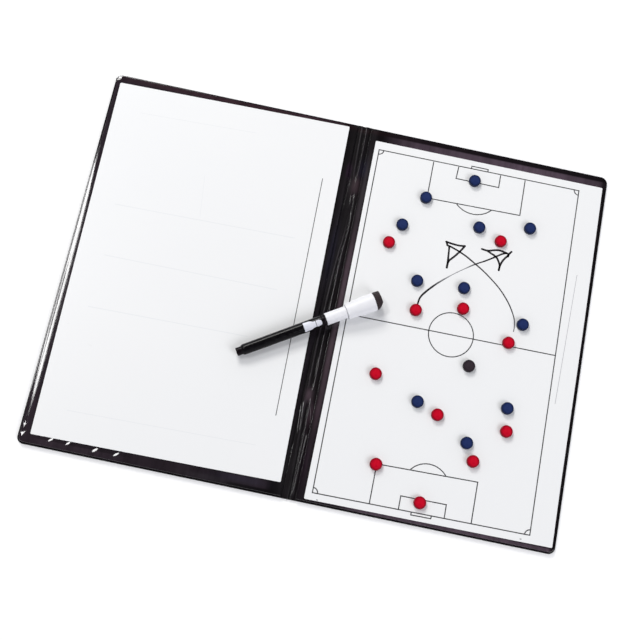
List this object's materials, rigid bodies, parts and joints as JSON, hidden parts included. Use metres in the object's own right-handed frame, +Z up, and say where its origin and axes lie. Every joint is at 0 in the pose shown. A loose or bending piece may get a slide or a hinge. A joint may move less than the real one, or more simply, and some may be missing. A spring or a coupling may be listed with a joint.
{
  "type": "tactics folder",
  "caption": "Hinged magnetic coaching folder that opens flat as dry-wipe boards, with sliding disc magnets on a pitch sheet and a lift-off marker with an eraser cap.",
  "frame": {"origin": "on the table under the middle of the open folder's outline", "axes": "+X runs across the open folder from the blank board to the pitch board, +Y runs along the spine towards the top of the pitch, +Z is up from the table"},
  "size_m": [0.4176, 0.3124, 0.0191],
  "materials": {
    "vinyl": "black glossy PVC film",
    "board": "grey bookbinding board",
    "steel": "thin bare steel sheet",
    "white_sheet": "white dry-wipe film, satin",
    "black_plastic": "black moulded plastic",
    "barrel": "glossy black tube",
    "fibre": "ink-soaked fibre",
    "white_plastic": "white moulded plastic",
    "felt": "dark brown felt",
    "blue_magnet": "navy, satin",
    "red_magnet": "red, satin",
    "black_magnet": "near black, satin"
  },
  "bodies": {
    "spine": {"spine_outer_vinyl": "vinyl", "spine_inner_vinyl": "vinyl"},
    "left_cover": {"left_outer_vinyl": "vinyl", "left_board": "board", "left_steel_sheet": "steel", "left_inner_vinyl": "vinyl", "writing_sheet": "white_sheet"},
    "right_cover": {"right_outer_vinyl": "vinyl", "right_board": "board", "right_steel_sheet": "steel", "right_inner_vinyl": "vinyl", "pitch_sheet": "white_sheet"},
    "marker": {"marker_end_plug": "black_plastic", "marker_barrel": "barrel", "marker_ink_reservoir": "fibre", "marker_nib_holder": "black_plastic", "marker_nib": "fibre"},
    "marker_cap": {"marker_cap": "white_plastic", "marker_eraser_holder": "white_plastic", "marker_felt_pad": "felt"},
    "blue_magnet_01": {"blue_magnet_01": "blue_magnet"},
    "blue_magnet_02": {"blue_magnet_02": "blue_magnet"},
    "blue_magnet_03": {"blue_magnet_03": "blue_magnet"},
    "blue_magnet_04": {"blue_magnet_04": "blue_magnet"},
    "blue_magnet_05": {"blue_magnet_05": "blue_magnet"},
    "blue_magnet_06": {"blue_magnet_06": "blue_magnet"},
    "blue_magnet_07": {"blue_magnet_07": "blue_magnet"},
    "blue_magnet_08": {"blue_magnet_08": "blue_magnet"},
    "blue_magnet_09": {"blue_magnet_09": "blue_magnet"},
    "blue_magnet_10": {"blue_magnet_10": "blue_magnet"},
    "blue_magnet_11": {"blue_magnet_11": "blue_magnet"},
    "red_magnet_01": {"red_magnet_01": "red_magnet"},
    "red_magnet_02": {"red_magnet_02": "red_magnet"},
    "red_magnet_03": {"red_magnet_03": "red_magnet"},
    "red_magnet_04": {"red_magnet_04": "red_magnet"},
    "red_magnet_05": {"red_magnet_05": "red_magnet"},
    "red_magnet_06": {"red_magnet_06": "red_magnet"},
    "red_magnet_07": {"red_magnet_07": "red_magnet"},
    "red_magnet_08": {"red_magnet_08": "red_magnet"},
    "red_magnet_09": {"red_magnet_09": "red_magnet"},
    "red_magnet_10": {"red_magnet_10": "red_magnet"},
    "red_magnet_11": {"red_magnet_11": "red_magnet"},
    "black_magnet": {"black_magnet": "black_magnet"}
  },
  "joints": [
    {"name": "right_cover_fold", "type": "hinge", "parent": "spine", "child": "right_cover", "pos_m": [0.00625, 0, 0.0016], "axis": [0, -1, 0], "range_deg": [0, 90]},
    {"name": "left_cover_fold", "type": "hinge", "parent": "spine", "child": "left_cover", "pos_m": [-0.00275, 0, 0.0016], "axis": [0, 1, 0], "range_deg": [0, 90]},
    {"name": "marker_lift", "type": "slide", "parent": "spine", "child": "marker", "axis": [0, 0, 1], "range_m": [0, 0.26]},
    {"name": "marker_cap_pull", "type": "slide", "parent": "marker", "child": "marker_cap", "axis": [0.844, 0.5356, 0.0283], "range_m": [0, 0.02]},
    {"name": "blue_magnet_01_slide", "type": "slide", "parent": "right_cover", "child": "blue_magnet_01", "axis": [0, 1, 0], "range_m": [-0.018, 0.011]},
    {"name": "blue_magnet_02_slide", "type": "slide", "parent": "right_cover", "child": "blue_magnet_02", "axis": [0, 1, 0], "range_m": [-0.031, 0.034]},
    {"name": "blue_magnet_03_slide", "type": "slide", "parent": "right_cover", "child": "blue_magnet_03", "axis": [0, 1, 0], "range_m": [-0.005, 0.061]},
    {"name": "blue_magnet_04_slide", "type": "slide", "parent": "right_cover", "child": "blue_magnet_04", "axis": [0, 1, 0], "range_m": [-0.021, 0.018]},
    {"name": "blue_magnet_05_slide", "type": "slide", "parent": "right_cover", "child": "blue_magnet_05", "axis": [0, 1, 0], "range_m": [-0.036, 0.042]},
    {"name": "blue_magnet_06_slide", "type": "slide", "parent": "right_cover", "child": "blue_magnet_06", "axis": [0, 1, 0], "range_m": [-0.005, 0.031]},
    {"name": "blue_magnet_07_slide", "type": "slide", "parent": "right_cover", "child": "blue_magnet_07", "axis": [0, 1, 0], "range_m": [-0.003, 0.021]},
    {"name": "blue_magnet_08_slide", "type": "slide", "parent": "right_cover", "child": "blue_magnet_08", "axis": [0, 1, 0], "range_m": [-0.005, 0.036]},
    {"name": "blue_magnet_09_slide", "type": "slide", "parent": "right_cover", "child": "blue_magnet_09", "axis": [0, 1, 0], "range_m": [-0.083, 0.201]},
    {"name": "blue_magnet_10_slide", "type": "slide", "parent": "right_cover", "child": "blue_magnet_10", "axis": [0, 1, 0], "range_m": [-0.003, 0.022]},
    {"name": "blue_magnet_11_slide", "type": "slide", "parent": "right_cover", "child": "blue_magnet_11", "axis": [0, 1, 0], "range_m": [-0.002, 0.026]},
    {"name": "red_magnet_01_slide", "type": "slide", "parent": "right_cover", "child": "red_magnet_01", "axis": [0, 1, 0], "range_m": [-0.038, 0.005]},
    {"name": "red_magnet_02_slide", "type": "slide", "parent": "right_cover", "child": "red_magnet_02", "axis": [0, 1, 0], "range_m": [-0.05, 0.058]},
    {"name": "red_magnet_03_slide", "type": "slide", "parent": "right_cover", "child": "red_magnet_03", "axis": [0, 1, 0], "range_m": [-0.06, 0.007]},
    {"name": "red_magnet_04_slide", "type": "slide", "parent": "right_cover", "child": "red_magnet_04", "axis": [0, 1, 0], "range_m": [-0.039, 0.003]},
    {"name": "red_magnet_05_slide", "type": "slide", "parent": "right_cover", "child": "red_magnet_05", "axis": [0, 1, 0], "range_m": [-0.022, 0.005]},
    {"name": "red_magnet_06_slide", "type": "slide", "parent": "right_cover", "child": "red_magnet_06", "axis": [0, 1, 0], "range_m": [-0.098, 0.049]},
    {"name": "red_magnet_07_slide", "type": "slide", "parent": "right_cover", "child": "red_magnet_07", "axis": [0, 1, 0], "range_m": [-0.029, 0.039]},
    {"name": "red_magnet_08_slide", "type": "slide", "parent": "right_cover", "child": "red_magnet_08", "axis": [0, 1, 0], "range_m": [-0.074, 0.003]},
    {"name": "red_magnet_09_slide", "type": "slide", "parent": "right_cover", "child": "red_magnet_09", "axis": [0, 1, 0], "range_m": [-0.046, 0.002]},
    {"name": "red_magnet_10_slide", "type": "slide", "parent": "right_cover", "child": "red_magnet_10", "axis": [0, 1, 0], "range_m": [-0.029, 0.06]},
    {"name": "red_magnet_11_slide", "type": "slide", "parent": "right_cover", "child": "red_magnet_11", "axis": [0, 1, 0], "range_m": [-0.007, 0.029]},
    {"name": "black_magnet_slide", "type": "slide", "parent": "right_cover", "child": "black_magnet", "axis": [0, 1, 0], "range_m": [-0.026, 0.05]}
  ],
  "couplings": [
    {"joint": "left_cover_fold", "follows": "right_cover_fold", "ratio": 1},
    {"joint": "marker_lift", "follows": "right_cover_fold", "m_per_rad": 0.1655}
  ]
}
